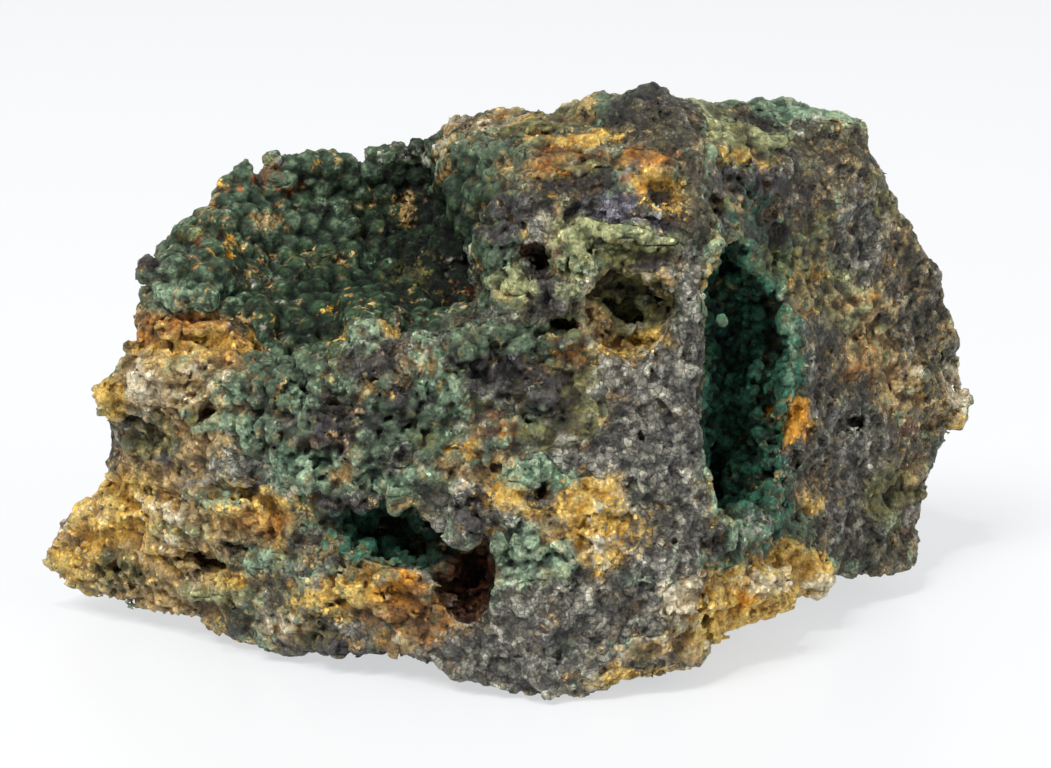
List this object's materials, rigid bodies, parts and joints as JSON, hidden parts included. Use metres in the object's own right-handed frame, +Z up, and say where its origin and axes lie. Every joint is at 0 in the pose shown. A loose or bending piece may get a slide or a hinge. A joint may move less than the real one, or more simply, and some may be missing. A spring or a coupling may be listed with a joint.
{
  "type": "vuggy ore specimen with green botryoidal crust",
  "caption": "Broken hand specimen of grey ore and yellow quartz, hollowed by an open bowl and a tall slot that a green grape-like crust lines.",
  "frame": {"origin": "under the middle of the specimen, on the surface that it stands on", "axes": "+X along its length to the right, +Y away from the front, +Z up"},
  "size_m": [0.0903, 0.0489, 0.0506],
  "materials": {
    "stone": "rough broken stone",
    "green_crust": "dull sugary crust"
  },
  "bodies": {
    "root": {"specimen": "stone"}
  },
  "joints": []
}
